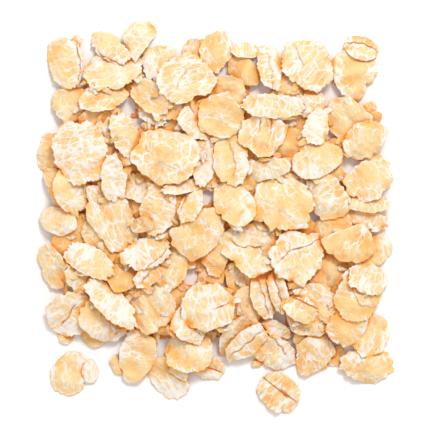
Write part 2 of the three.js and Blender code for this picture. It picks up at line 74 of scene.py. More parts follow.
# Across, away, length, width, turn in degrees from +X towards +Y, kind, tone (0 cream, 0.5 tan, 1 orange),
# starch (0 unbroken skin, 1 white flour), and what else is its own, with directions in degrees from +X:
# square, taper and cuts as in the solids, bites: notches by direction, depth in mm and half width in
# degrees, white: the direction of its white side, creases: lines of places, pale: little brown in them,
# spot: a dark bran dot, banded: cracks across it and not along it, rounded: how far its outline is
# unbroken, 0 to 1.
LOWEST = [
    # far side
    (-28, 35, 3.2, 2.6, 60, "starchy", 0.3, 0.9), (-3.8, 33.4, 5.6, 4.8, 0, "starchy", 0.4, 0.7),
    (5.8, 29.2, 7.6, 4.8, -35, "smooth", 0.9, 0.1), (2.6, 25, 7.6, 6, -20, "streaked", 0.6, 0.35),
    (14.6, 26, 5.6, 4.8, 0, "smooth", 0.6, 0.4),
    (27.7, 28.4, 9.6, 9.4, 80, "radial", 0.65, 0.35,
     dict(square=2.8, taper=0.12, cuts=[(-32, 3.7), (5, 4.5), (203, 4)], white=180)),
    (17.4, 18.4, 5.2, 4.8, 0, "starchy", 0.3, 0.85), (30.8, 21.8, 3.6, 2.4, 25, "smooth", 0.9, 0.1),
    (32.2, 20.2, 2.8, 2, 0, "smooth", 0.9, 0.1),
    (-28.6, 22.4, 8.8, 6.8, -10, "crazed", 0.45, 0.38, dict(cuts=[(180, 3.8)])),
    (-23, 19.6, 9.2, 5.6, 15, "smooth", 0.6, 0.25), (-13.2, 18, 3.6, 2.4, -10, "smooth", 0.65, 0.25),
    (-8.2, 19, 4.4, 4, 0, "starchy", 0.6, 0.55), (-7, 22, 5.2, 3.6, 15, "smooth", 0.7, 0.2),
    (14.8, 14.4, 5.6, 4.4, 0, "smooth", 0.85, 0.15),
    # left
    (-21, 14, 8, 5.6, 100, "starchy", 0.45, 0.65), (-33, 12.8, 7.6, 5.2, 80, "starchy", 0.75, 0.65),
    (-31.4, 5.4, 9.2, 6, 118, "smooth", 0.6, 0.35, dict(cuts=[(202, 1.9)])),
    (-28.2, -4, 8.8, 6.4, 60, "smooth", 0.75, 0.15), (-22.8, -4.4, 7.2, 4.4, -55, "smooth", 0.65, 0.3),
    (-24, 7.6, 3.2, 2, 0, "smooth", 0.85, 0.1), (-17.2, 10.8, 3.2, 2.2, -40, "smooth", 0.55, 0.3),
    (-13.6, 3.2, 5.6, 4, 70, "smooth", 0.6, 0.3), (-13.4, -3.8, 2.8, 1.6, 0, "starchy", 0.2, 0.9),
    (-32.6, -9.8, 10, 4.8, 107, "streaked", 0.5, 0.35, dict(cuts=[(95, 4.4), (214, 2.6)])),
    (-26.6, -12.6, 8, 5.2, -45, "crazed", 0.6, 0.5),
    # middle
    (-8.6, -1.2, 4.8, 4, 35, "smooth", 0.45, 0.2), (-7.4, 2.8, 6, 4.4, 70, "smooth", 0.75, 0.2),
    (-5, -9.2, 2.8, 2.4, 0, "starchy", 0.25, 0.85), (-0.8, -12.4, 5.6, 4, 20, "starchy", 0.35, 0.5),
    (-0.2, -7, 8, 4.4, 95, "smooth", 0.75, 0.2),
    (4.6, -13.2, 8.8, 4.4, 105, "streaked", 0.55, 0.5, dict(banded=True)),
    (14.8, 10.2, 3.2, 2.4, 0, "smooth", 0.85, 0.1),
    # right
    (22.6, 8.2, 2.8, 2, 0, "smooth", 0.85, 0.1), (29.6, -0.6, 8.4, 4.8, -10, "starchy", 0.6, 0.6),
    (23.6, -1.9, 8, 5, 25, "smooth", 0.65, 0.35),
    (32.2, -6.8, 7.2, 6, 15, "crazed", 0.45, 0.5, dict(cuts=[(0, 3.2)])),
    (21.8, -11.2, 6.4, 4.8, 30, "smooth", 0.65, 0.3, dict(white=225)),
    (17.6, -13.8, 3.2, 2.4, 0, "starchy", 0.35, 0.5), (14.8, -13.4, 3.6, 2.8, 0, "starchy", 0.25, 0.85),
    # near side
    (-30.2, -23.4, 4.4, 3.2, -70, "crazed", 0.5, 0.45), (-24.5, -24.2, 5.2, 3.6, -25, "smooth", 0.65, 0.3),
    (-8.6, -17.6, 8.8, 6.4, 80, "smooth", 0.6, 0.2), (-10.2, -22.4, 3.4, 2.2, 0, "smooth", 0.85, 0.1),
    (1.4, -21.2, 2.8, 2, 0, "starchy", 0.5, 0.5), (5.8, -18.6, 7.2, 5.6, 70, "smooth", 0.45, 0.2),
    (12.4, -22.6, 6, 3.2, -30, "starchy", 0.25, 0.85), (8.4, -29.4, 2.4, 1.6, 0, "smooth", 0.65, 0.2),
    (17.2, -25.2, 4.8, 2.8, -65, "smooth", 0.6, 0.25), (24.2, -27.8, 4.4, 3.6, 60, "starchy", 0.6, 0.55),
    (21.2, -29.8, 3.2, 2, 0, "smooth", 0.65, 0.3),
    (30.2, -30, 10.8, 6.8, 2, "radial", 0.55, 0.5, dict(cuts=[(225, 3.8)])),
    (-19.6, -29.6, 4.4, 2.8, -60, "smooth", 0.6, 0.25),
    (-9.6, -32.2, 9.6, 6.8, -40, "streaked", 0.55, 0.45, dict(cuts=[(214, 2.9)], white=-90)),
]

LOW = [
    # far side
    (-29.6, 30.8, 10.8, 7.6, 100, "smooth", 0.5, 0.35,
     dict(cuts=[(-5, 3.1)], white=10, creases=[[(-27.6, 34.4), (-26.9, 30), (-27.5, 26)]])),
    (-0.2, 33.2, 9.4, 7.4, 100, "streaked", 0.65, 0.35,
     dict(taper=0.2, cuts=[(-43, 3.4), (134, 2.9), (180, 2.8)])),
    (6, 33.4, 5.6, 3.2, 0, "starchy", 0.6, 0.6),
    (29.4, 33.8, 7.2, 4.8, -15, "creased", 0.7, 0.2,
     dict(rounded=0.8, white=-100, creases=[[(26.6, 34.9), (29.2, 34.9), (31.2, 34.2), (32.6, 33.2)]])),
    (19.4, 22.6, 6, 4.8, 60, "crazed", 0.55, 0.55),
    (26.8, 19.4, 10.8, 8.4, -60, "streaked", 0.6, 0.35, dict(cuts=[(80, 4.3)])),
    (-22, 23.8, 10.4, 5.2, 8, "streaked", 0.6, 0.5, dict(cuts=[(-39, 3.2)])),
    (-12.6, 20, 6, 2.8, -25, "starchy", 0.35, 0.85), (-17.8, 16.2, 9.6, 5.2, 108, "crazed", 0.6, 0.55),
    # left and middle
    (-31.4, -0.8, 8, 5.4, -18, "smooth", 0.3, 0.3, dict(white=-60)),
    (-14.8, 5.8, 5.6, 4, -10, "starchy", 0.3, 0.6),
    (-11.2, 1.8, 8, 4.8, 80, "crazed", 0.6, 0.5, dict(white=0)),
    (-8.6, -10.2, 8.8, 6, 70, "streaked", 0.6, 0.4), (1.4, -15.8, 4.4, 4, 0, "crazed", 0.5, 0.5),
    # right
    (29.6, 3, 9.6, 3.6, -8, "crazed", 0.55, 0.6), (22.6, 3.8, 9.2, 7.6, -60, "crazed", 0.6, 0.45),
    # near side
    (-29.6, -19.8, 10.8, 8.4, 58, "creased", 0.5, 0.45,
     dict(cuts=[(233, 3.7)], white=-90, creases=[[(-27.6, -16.9), (-29, -19.6), (-30.8, -21.8)]])),
    (31.2, -23.8, 9.2, 6.8, 65, "streaked", 0.6, 0.4, dict(cuts=[(5, 3.4)])),
    (9.6, -15.8, 9.2, 4.8, 107, "creased", 0.6, 0.35),
    (11.8, -27.4, 9.2, 6.8, -40, "creased", 0.6, 0.4,
     dict(cuts=[(272, 3.3)], white=0, creases=[[(10.6, -23.6), (12.6, -25), (14, -27.2)]])),
    (19.8, -27.8, 9.4, 7.8, 35, "smooth", 0.75, 0.4, dict(cuts=[(-55, 2.9), (180, 3.4)])),
    (-15.4, -28, 10.8, 8, 85, "smooth", 0.6, 0.25, dict(cuts=[(-36, 3.4)], white=135)),
    (-7.4, -31, 4.8, 2.4, -40, "starchy", 0.4, 0.6),
    (-1.4, -30.1, 6.6, 4.8, -20, "creased", 0.6, 0.4, dict(white=-100)),
]

MIDDLE = [
    (-20.6, 29.2, 12, 7.2, 8, "streaked", 0.3, 0.55, dict(bites=[(-105, 0.7, 6)])),
    (11, 29.8, 9.6, 4.8, 98, "creased", 0.55, 0.45, dict(white=0, pale=True)),
    (-12.8, 24, 9.2, 5.6, -38, "streaked", 0.6, 0.4),
    (-28.8, 5.2, 8.8, 6, 115, "smooth", 0.45, 0.28, dict(white=-70)),
    (-22.4, -20.6, 9.6, 7.2, -35, "smooth", 0.35, 0.2, dict(white=-90)),
    (-13, -18, 9.2, 8, -60, "streaked", 0.6, 0.35),
    (-3.4, -3.6, 11.6, 9.2, 12, "crazed", 0.6, 0.4, dict(cuts=[(-27, 4), (232, 4.7), (139, 4.5)])),
    (30.2, 8.2, 10.2, 9.4, 35, "crazed", 0.6, 0.38, dict(square=2.3, cuts=[(130, 2.6)])),
    (19.4, -18.8, 10.8, 10, 40, "smooth", 0.7, 0.25, dict(cuts=[(270, 5)], white=50)),
    (12.6, -14.8, 8.8, 4, 105, "creased", 0.6, 0.4, dict(white=0)),
    (-5, -27, 10.4, 7.6, 5, "smooth", 0.4, 0.35, dict(cuts=[(-5, 4.3)], white=50)),
    (-21, 33.8, 9.2, 5.6, -38, "crazed", 0.5, 0.5,
     dict(cuts=[(180, 3.6), (45, 2.2), (246, 2.3)],
          creases=[[(-23.8, 33), (-21, 31.4), (-18.4, 30.4)]])),
    (-11, 31, 7.6, 7.2, 20, "crazed", 0.55, 0.65),
    (30.2, 15.2, 9.6, 7.6, 20, "smooth", 0.55, 0.38, dict(cuts=[(0, 4.3), (-40, 3.1)])),
    (-26.8, 12.8, 11.6, 9.2, 100, "crazed", 0.55, 0.65),
    (-20.6, -17.2, 10.4, 4.8, -45, "starchy", 0.35, 0.85),
    (-5.2, -21.4, 8, 6.8, 100, "creased", 0.55, 0.45,
     dict(cuts=[(242, 3.2)], white=180, creases=[[(-4.4, -18.4), (-3.6, -21.4), (-2.8, -24.2)]])),
    (-4.6, 2.4, 7.6, 4.4, 60, "creased", 0.5, 0.5,
     dict(cuts=[(0, 2.1)], white=0, creases=[[(-4.8, 5.4), (-5.8, 3.4), (-7.2, 1.2)]])),
    (7.4, -6.6, 10, 9.6, -8, "creased", 0.45, 0.5,
     dict(cuts=[(227, 4.3)],
          creases=[[(3, -4.4), (4.4, -5.7), (6, -6.1), (9, -6), (11.6, -7.1)]])),
    (26.4, -21.6, 10, 7.6, 55, "smooth", 0.75, 0.25, dict(cuts=[(231, 4.1)])),
    (17.2, -18.4, 7.2, 4.8, -30, "creased", 0.6, 0.4,
     dict(creases=[[(14.8, -15.6), (17.6, -17), (20.6, -18.2)]])),
]

HIGH = [
    (-15.4, 35.4, 8.4, 6.4, 80, "crazed", 0.3, 0.5,
     dict(square=2.2, taper=0.35, cuts=[(-25, 2.3), (90, 3.7), (204, 2.9), (142, 3)])),
    (-19, -12.2, 6.8, 5.2, 5, "smooth", 0.85, 0.1, dict(cuts=[(207, 2.4)], white=90)),
    (-1.4, -18, 10.4, 8.4, 10, "crazed", 0.5, 0.5,
     dict(creases=[[(0.3, -18.1), (1.8, -17.6), (3.4, -17.3)]])),
    (-6.6, 6, 7.2, 2.4, 10, "starchy", 0.3, 0.85),
    (17, -7.8, 10.8, 10, 25, "creased", 0.45, 0.6,
     dict(cuts=[(-29, 4.4)],
          creases=[[(12.6, -9.1), (13.6, -7.9), (15, -6.8), (17, -6.1), (19.2, -5.4), (21.8, -4.1)]])),
    (28.4, -16, 10.4, 8.4, 70, "smooth", 0.75, 0.25,
     dict(pale=True, creases=[[(27.5, -13.6), (28, -16), (29.3, -17.8), (31, -18)]])),
    (-25, -8.8, 10.8, 5.6, -28, "crazed", 0.5, 0.45, dict(white=135)),
    (-13.4, -11.6, 5.6, 4, 45, "creased", 0.6, 0.5), (-2, 11, 8.8, 4, 85, "starchy", 0.3, 0.9),
    (13.4, 2.8, 11.2, 10.8, 0, "radial", 0.5, 0.4), (30.4, -12.2, 8, 6, -25, "starchy", 0.6, 0.6),
    (3.8, -23.8, 8.4, 4.4, 55, "streaked", 0.6, 0.45),
]

HIGHEST = [
    (-10, 12.2, 12.8, 10.8, -10, "radial", 0.65, 0.38),
    (-21, -0.2, 14, 8.8, 112, "streaked", 0.6, 0.45, dict(cuts=[(217, 3.7)])),
    (-13.8, -7.2, 8.8, 6, 20, "crazed", 0.65, 0.5,
     dict(white=180, creases=[[(-9.6, -6.2), (-10.8, -7.8), (-12.4, -9), (-14, -10.4)]])),
    (3.8, 2.6, 9.2, 8, -40, "smooth", 0.45, 0.22, dict(white=0, spot=(5.4, 0.8))),
    (10.6, 9.6, 8.4, 4, 15, "crazed", 0.45, 0.5),
    (20.6, 11.2, 10.8, 7.2, 5, "smooth", 0.35, 0.4,
     dict(cuts=[(-52, 3.2)], bites=[(92, 0.7, 6)], white=-90, spot=(18.4, 11.6))),
    (26.4, -4.8, 10.8, 8.4, -20, "smooth", 0.75, 0.25, dict(cuts=[(112, 2.5)])),
    (6.3, -25.2, 9.8, 5.2, 40, "creased", 0.6, 0.35, dict(white=90)),
    (20.3, 18.2, 7.6, 4.6, 75, "starchy", 0.25, 1, dict(taper=-0.25)),
    (-3.6, 19, 7.2, 6, -50, "starchy", 0.45, 0.7), (-20.2, 7.8, 8.8, 4.8, 95, "starchy", 0.4, 1.1),
    (-14.6, -1.6, 4.4, 3.2, 10, "smooth", 0.8, 0.3),
    (3.2, 11.4, 9.4, 6.8, 95, "creased", 0.45, 0.25,
     dict(white=0, pale=True, creases=[[(2.8, 15), (3.6, 12.6), (4, 10.4), (3.8, 8.2)]])),
    (1.4, 20.4, 10, 9.2, -10, "streaked", 0.65, 0.3, dict(cuts=[(41, 3.7)])),
    (-5, 27.8, 12.4, 10, 20, "streaked", 0.55, 0.5,
     dict(cuts=[(36, 4.1), (0, 5.3)], bites=[(-68, 1.2, 12)], pale=True,
          creases=[[(-7.6, 25.4), (-6.8, 27.4), (-5.8, 29.6)]])),
    (10.2, 15.8, 10, 8.4, -20, "streaked", 0.65, 0.35,
     dict(cuts=[(-37, 3)], white=-10, banded=True,
          creases=[[(9, 20), (9.2, 18.8), (9, 17.4)], [(11, 20), (11.4, 18.6), (10.9, 17)]])),
    (11.4, 22.2, 12.4, 4.8, -3, "starchy", 0.5, 0.7),
    (18.4, 30.4, 11.4, 10.7, -45, "crazed", 0.55, 0.45,
     dict(cuts=[(222, 4.3), (-45, 5.3)], pale=True,
          creases=[[(15.8, 34.6), (16.6, 32.6), (17.4, 31)]])),
]

# How much wider than its row a flake in the heap's middle is, from the lowest table to the highest.
# A row gives what shows of the flake, which runs on under its neighbours.
RUNS_UNDER = [0.5, 0.4, 0.25, 0.1, 0.05]

# The hidden flakes in the middle of the heap, as low slabs: across, away, half across and half away.
CORES = [
    (0, 3, 31.5, 28),
    (-4.5, -27, 3.6, 3.2),
]

# Where the heap is open down to the surface: across, away and radius.
FLOOR_GAPS = [
    (-18, 22.4, 1.7), (1.3, 28.4, 1.5), (8.6, 25.5, 1.6),
    (13.8, 28.6, 1.1), (5, 21.6, 1.2), (22.7, 24.4, 2),
    (23, 17.2, 1.3), (27, 10.4, 1.5), (-15.3, 18.8, 0.8),
    (-1.5, 4.1, 1.1), (19.8, 0.2, 0.9), (-5, -11.9, 1.3),
    (2.2, -12.5, 1.1), (12.7, -20.5, 1.3), (-28.4, -13.4, 1),
]

# The two flakes that lie apart, on the bare surface.
STRAYS = {
    "stray_flake_left": (-28.2, -31.6, 9.8, 9, -5, "smooth", 0.4, 0.25,
                         dict(rounded=0.8, cuts=[(-61, 3.5)], bites=[(56, 1.2, 13), (-40, 1.3, 13)],
                              white=20, pale=True,
                              creases=[[(-26, -28.2), (-26.8, -31.1), (-25.8, -34.2)]])),
    "stray_flake_front": (12.8, -35.3, 9, 7.4, -40, "creased", 0.75, 0.45,
                          dict(rounded=0.8, banded=True, cuts=[(221, 3.5), (0, 4.2)],
                               creases=[[(9.2, -31.8), (12.4, -34.2), (16.6, -37.4)]])),
}

# ---- The form of one flake ----


def chance(seed, term):
    """A number from 0 to 1, the same for the same flake and term: the fraction of 43758.5453 times the
    sine of 12.9898 seeds and 78.233 terms."""
    wave = np.sin(seed * 12.9898 + term * 78.233) * 43758.5453
    return wave - np.floor(wave)


PLAIN = dict(taper=0, cuts=[], bites=[], creases=[], white=None, spot=None, banded=False, pale=False)


def read_flake(row):
    """The named values of one row of the tables above. A cut is kept as its direction in half sizes and
    its distance from the middle."""
    x, y, length, width, turn, kind, tone, starch, *own = row
    form, angle = KINDS[kind], np.radians(turn)
    seed = 10 * length + width + turn / 10
    vary = 0.6 + 0.8 * chance(seed, 1)
    flake = SimpleNamespace(
        seed=seed, x=x, y=y, length=length, width=width, kind=kind, tone=tone, starch=starch,
        turn=angle, cos=np.cos(angle), sin=np.sin(angle), square=form["square"],
        dish=form["dish"] * vary, curl=form["curl"] * vary, fold=form["fold"] * vary,
        rounded=0.6 if kind == "smooth" else 0.25, level=0, along_x=0, along_y=0, thick=1, **PLAIN,
    )
    for values in own:
        flake.__dict__.update(values)
    offs = [(np.radians(facing - turn), distance) for facing, distance in flake.cuts]
    flake.cuts = [(np.cos(off) * length / 2, np.sin(off) * width / 2, far) for off, far in offs]
    return flake


def reach(flake, angle):
    """How far the outline is from the middle, where 1 is a plain ellipse: a superellipse,
    (|cos|^n + |sin|^n)^(-1/n), times 1 plus three slow cosine waves of 2, 3 and 4 turns, and no further
    than each cut, a straight line at its distance."""
    n = flake.square
    waves = 1
    for turns in (2, 3, 4):
        size = LOBES * (2 * chance(flake.seed, turns + 1) - 1) / (turns - 1)
        waves = waves + size * np.cos(turns * angle + TAU * chance(flake.seed, turns + 4))
    far = waves * (np.abs(np.cos(angle)) ** n + np.abs(np.sin(angle)) ** n) ** (-1 / n)
    for along, across, distance in flake.cuts:
        facing = along * np.cos(angle) + across * np.sin(angle)
        far = np.where(facing > 0, np.minimum(far, distance / np.maximum(facing, 1e-6)), far)
    return far


def bend(flake, p, q):
    """Rise of the middle surface at p along and q across in half sizes: dish times p squared plus q
    squared, curl times q squared, and a fold that rises in a V from the line q = 0."""
    return flake.dish * (p * p + q * q) + flake.curl * q * q + flake.fold * (np.abs(q) - 0.5)


def place(flake, p, q):
    """From half sizes to the ground plan: scale, widen by the taper, turn and move."""
    along = p * flake.length / 2
    across = q * (1 + flake.taper * p) * flake.width / 2
    x = flake.x + along * flake.cos - across * flake.sin
    return x, flake.y + along * flake.sin + across * flake.cos


def unplace(flake, x, y):
    """From the ground plan back to half sizes, the reverse of place."""
    along = (x - flake.x) * flake.cos + (y - flake.y) * flake.sin
    across = (y - flake.y) * flake.cos - (x - flake.x) * flake.sin
    p = 2 * along / flake.length
    return p, 2 * across / (flake.width * (1 + flake.taper * p))


# ---- How the flakes lie on each other ----

MAP_SIDE = round(2 * MAP_HALF / CELL)
CENTRES = (np.arange(MAP_SIDE) + 0.5) * CELL - MAP_HALF
SLOPES = STEEPEST * np.arange(-SLOPE_STEPS, SLOPE_STEPS + 1) / SLOPE_STEPS


def out_on_core(core, x, y):
    """How far out a place is on a slab of the core, where 1 is its outline, |x/a|^n + |y/b|^n = 1."""
    middle_x, middle_y, half_x, half_y = core
    out_x = np.abs((x - middle_x) / half_x) ** CORE_SQUARE
    out_y = np.abs((y - middle_y) / half_y) ** CORE_SQUARE
    return (out_x + out_y) ** (1 / CORE_SQUARE)


def on_core(x, y, share=1, margin=0):
    """Whether the core is there: inside a slab shrunk to that share, and clear of the open gaps."""
    filled = np.any([out_on_core(core, x, y) < share for core in CORES], axis=0)
    gaps = [np.hypot(x - gap_x, y - gap_y) < radius + margin for gap_x, gap_y, radius in FLOOR_GAPS]
    return filled & ~np.any(gaps, axis=0)


def widen(flake, share):
    """Widens a flake that runs on under others, by a share times 1 less the fourth power of how far out on
    the core it is, and never over an open gap. Its straight broken edges stay where they are."""
    inward = 1 - min(1, out_on_core(CORES[0], flake.x, flake.y)) ** 4
    clear = min(np.hypot(x - flake.x, y - flake.y) - radius for x, y, radius in FLOOR_GAPS)
    wider = max(1, min(1 + share * inward, clear / (flake.length / 2)))
    flake.length *= wider
    flake.width *= wider
    flake.cuts = [(along * wider, across * wider, distance) for along, across, distance in flake.cuts]


def cells_under(flake):
    """Rows, columns, offsets and rises of the map's cells inside the outline."""
    far = 0.7 * flake.length
    rows = np.flatnonzero(np.abs(CENTRES - flake.y) <= far)
    columns = np.flatnonzero(np.abs(CENTRES - flake.x) <= far)
    row, column = (grid.ravel() for grid in np.meshgrid(rows, columns, indexing="ij"))
    x, y = CENTRES[column], CENTRES[row]
    p, q = unplace(flake, x, y)
    inside = np.hypot(p, q) <= reach(flake, np.arctan2(q, p))
    rise = bend(flake, p, q)[inside]
    return row[inside], column[inside], x[inside] - flake.x, y[inside] - flake.y, rise


def settle(flake, ground):
    """Tips the flake so that its middle lies as low as what is under it allows, then adds it to the map.
    For each pair of slopes its level is the greatest of ground - slope * offset - rise over its cells. It
    takes the slopes with the least level, and lies half its thickness above that, less PRESS."""
    row, column, dx, dy, rise = cells_under(flake)
    along_x, along_y = (grid.ravel() for grid in np.meshgrid(SLOPES, SLOPES, indexing="ij"))
    rest = ground[row, column] - rise - along_x[:, None] * dx - along_y[:, None] * dy
    level = rest.max(axis=1)
    best = np.flatnonzero(level <= level.min() + 1e-6)[0]
    flake.along_x, flake.along_y = along_x[best], along_y[best]
    flake.level = level[best] + FLAKE_THICKNESS / 2 - PRESS
    top = flake.level + flake.along_x * dx + flake.along_y * dy + rise + FLAKE_THICKNESS / 2
    ground[row, column] = np.maximum(ground[row, column], top)


heap_flakes = []
heap_map = CORE_HEIGHT * on_core(CENTRES[None, :], CENTRES[:, None])
for rows, share in zip((LOWEST, LOW, MIDDLE, HIGH, HIGHEST), RUNS_UNDER):
    for row in rows:
        flake = read_flake(row)
        widen(flake, share)
        settle(flake, heap_map)
        heap_flakes.append(flake)
stray_map = np.zeros((MAP_SIDE, MAP_SIDE))
stray_flakes = {name: read_flake(row) for name, row in STRAYS.items()}
for flake in stray_flakes.values():
    settle(flake, stray_map)

# ---- The surface of one flake ----

RIM_THICKNESS = 0.32  # a flake just inside its rim, which frays thinner than the solids' 0.5 mm
ROUNDED = 0.96  # the rim's rounding starts at this share of the way out
CORNERS_OUT = 1.09  # corners of a broken outline reach this much further
SCALLOPS = (0.007, 0.013)  # the rim's slow waves: their size, and what full flour adds
RAGGED = (0.004, 0.016)  # the same for its quick ones
NOTCH_DEEPEST = 0.16  # of the seeded splits in the rim, in half sizes
WAVINESS = 0.21  # rise and fall of a flake's face, mm
RIDGES = 0.08  # height of the long ridges of a streaked or creased flake, mm
RELIEF = 0.06  # height of its finer bumps, mm
RIM_WAVE = 0.096  # rise and fall of its rim, mm
CREASE_DEPTH = 0.2  # mm
CREASE_HALF = 0.22  # half the width of a crease's groove, mm
CREASE_WANDER = 0.22  # how far a crease strays from its straight stretches, mm
CREASE_FADE = 0.8  # over this length it fades out at each end, mm
LIP_RISE, LIP_HALF = 0.14, 1.1  # one side of a crease stands higher by this, over this half width, mm
CREASE_NEAR, CREASE_GONE = 0.5, 0.9  # between these distances its line fades out sideways, mm
SEAM_FAR = 1.5  # stands for no crease near, mm
WHITE_HALF = 0.8  # half the width of the flour beside a crease, mm
WHITE_CREASE, WHITE_SIDE, WHITE_RIM = 0.45, 0.65, 0.6  # flour that each of these adds
TONE_DRIFT = 0.16  # how far the tone changes with the waves, as painted shade that makes the dips of a face oranger, and towards a side
SPOT_DARK, SPOT_HALF = 0.8, 0.55  # the tone that a dark dot adds, and half its width in mm
PALE = 0.4  # strength of a pale crease's line
POST = 2.6  # radius of the post that a radial pattern is wrapped round, mm
FLOOR_GAP = 0.02  # the lowest flakes lie this far above the surface, mm
LEAST_HALF = 0.1  # and are nowhere thinner than twice this there, mm
SHADE_WAYS = 12  # directions in which a place looks for taller flakes
SHADE_STEPS = (0.5, 0.9, 1.5, 2.4, 3.6)  # and how far it looks, mm
BIG, SMALL = 8.5, 5.0  # a whole flake is longer than the one, a crumb shorter than the other, mm


def smooth_step(low, high, value):
    """0 below low, 1 above high, and 3t^2 - 2t^3 between."""
    t = np.clip((value - low) / (high - low), 0, 1)
    return t * t * (3 - 2 * t)


def ripples(random, u, v, longest, shortest, count):
    """A sum of plane cosine waves with seeded directions and lengths, about -1 to 1."""
    total = np.zeros_like(u)
    for _ in range(count):
        heading, phase = random.uniform(0, TAU, 2)
        length = random.uniform(shortest, longest)
        total += np.cos((u * np.cos(heading) + v * np.sin(heading)) * TAU / length + phase)
    return total / np.sqrt(count)


def height_at(ground, x, y):
    """The height map at any place, by weighing the four cells about it."""
    across, away = (x + MAP_HALF) / CELL - 0.5, (y + MAP_HALF) / CELL - 0.5
    column, row = np.floor(across).astype(int), np.floor(away).astype(int)
    s, t = across - column, away - row
    near = ground[row, column] * (1 - s) + ground[row, column + 1] * s
    far = ground[row + 1, column] * (1 - s) + ground[row + 1, column + 1] * s
    return near * (1 - t) + far * t


def shade_among(ground, points):
    """How far the flakes about a place hem it in, 0 to 1: the mean over all ways of how steeply they rise,
    or 1 right under a flake. The material paints warm orange shade by it: painted shade that stands in for
    the warm light which arrives through the flakes."""
    x, y, z = points[..., 0], points[..., 1], points[..., 2]
    hemmed = np.zeros_like(x)
    for heading in np.arange(SHADE_WAYS) * TAU / SHADE_WAYS:
        steepest = np.zeros_like(x)
        for away in SHADE_STEPS:
            over = height_at(ground, x + away * np.cos(heading), y + away * np.sin(heading)) - z
            steepest = np.maximum(steepest, over / away)
        hemmed += smooth_step(0.1, 2.0, steepest) / SHADE_WAYS
    under = smooth_step(0.25, 0.7, height_at(ground, x, y) - z)
    return np.maximum(hemmed, under)


def broken_outline(flake, angle, random):
    """The outline's reach in each direction: the solid's own, partly straightened into 6 to 9 sides, or 4
    to 6 on a crumb, with scallops of 5 to 13 waves and ragged ones of 17 to 37. A side joins corners at
    a and b, which reach A and B: A B sin(b - a) / (A sin(angle - a) + B sin(b - angle))."""
    count = random.integers(4, 7) if flake.length < SMALL else random.integers(6, 10)
    steps = random.uniform(0.6, 1.4, count)
    corners = random.uniform(0, 1) + np.cumsum(steps) / steps.sum() * TAU
    corners = np.concatenate([[corners[-1] - TAU], corners])
    around = (angle - corners[0]) % TAU + corners[0]
    side = np.clip(np.searchsorted(corners, around, side="right") - 1, 0, count - 1)
    a, b = corners[side], corners[side + 1]
    far_a, far_b = CORNERS_OUT * reach(flake, a), CORNERS_OUT * reach(flake, b)
    straight = far_a * far_b * np.sin(b - a) / (far_a * np.sin(around - a) + far_b * np.sin(b - around))
    far = flake.rounded * reach(flake, angle) + (1 - flake.rounded) * straight
    scallops = (SCALLOPS[0] + SCALLOPS[1] * flake.starch) * (1.25 - flake.rounded)
    ragged = RAGGED[0] + RAGGED[1] * flake.starch
    for size, numbers in ((scallops, range(5, 14, 2)), (ragged, range(17, 38, 5))):
        for turns in numbers:
            far = far * (1 + size * random.normal() * np.cos(turns * angle + random.uniform(0, TAU)))
    return far


def waves_round(random, angle, numbers):
    """A sum of cosine waves with these numbers of turns round the rim, of seeded sizes and phases."""
    return sum(random.normal() * np.cos(n * angle + random.uniform(0, TAU)) for n in numbers)


def bell(angle, middle, half_width):
    """1 at the middle angle and falling to each side as exp(-(off / half width)^2)."""
    off = (angle - middle + np.pi) % TAU - np.pi
    return np.exp(-((off / half_width) ** 2))


def notches(flake, angle, random):
    """Depth of the splits in the rim, in half sizes: one to three narrow ones at seeded angles, and the
    flake's own bites."""
    depth = np.zeros_like(angle)
    for _ in range(random.integers(1, 4) if flake.length > SMALL else 1):
        middle, half_width = random.uniform(0, TAU), random.uniform(0.05, 0.2)
        depth += random.uniform(0.05, 0.15) * bell(angle, middle, half_width)
    depth = np.minimum(depth, NOTCH_DEEPEST)
    for facing, deep, half_width in flake.bites:
        off = np.radians(facing) - flake.turn
        middle = np.arctan2(np.sin(off) * flake.length, np.cos(off) * flake.width)
        half_size = np.hypot(np.cos(middle) * flake.length, np.sin(middle) * flake.width) / 2
        depth = np.maximum(depth, deep / half_size * bell(angle, middle, np.radians(half_width)))
    return depth


def distance_to_line(x, y, line):
    """Distance in mm from each place to a line through a list of places, less than 0 on its right: the
    least distance to its stretches, each with its foot kept between its ends. Also how far along the line
    that foot is from the nearer end."""
    nearest = np.full_like(x, np.inf)
    signed, from_end = np.zeros_like(x), np.zeros_like(x)
    stretches = list(zip(line[:-1], line[1:]))
    lengths = [np.hypot(bx - ax, by - ay) for (ax, ay), (bx, by) in stretches]
    start = 0
    for ((ax, ay), (bx, by)), length in zip(stretches, lengths):
        run_x, run_y = bx - ax, by - ay
        t = np.clip(((x - ax) * run_x + (y - ay) * run_y) / length**2, 0, 1)
        away = np.hypot(x - ax - t * run_x, y - ay - t * run_y)
        closer = away < nearest
        signed = np.where(closer, np.sign(run_x * (y - ay) - run_y * (x - ax)) * away, signed)
        along = start + t * length
        from_end = np.where(closer, np.minimum(along, sum(lengths) - along), from_end)
        nearest = np.minimum(nearest, away)
        start += length
    return signed, from_end


def section(rings, rim_steps, under_rings):
    """A flake's section from the middle of its top round the rim to the middle of its underside: how far
    out each ring is, and whether it is above or below, as the sine and cosine of the rim's rounding."""
    inner = np.linspace(0, ROUNDED, rings + 1)[1:]
    swing = np.linspace(0, np.pi, 2 * rim_steps + 1)[1:-1]
    rim = ROUNDED + (1 - ROUNDED) * np.sin(swing)
    under = np.linspace(ROUNDED, 0, under_rings + 1)[:-1]
    out = np.concatenate([inner, rim, under])
    half = np.concatenate([np.ones_like(inner), np.cos(swing), -np.ones_like(under)])
    return out, half


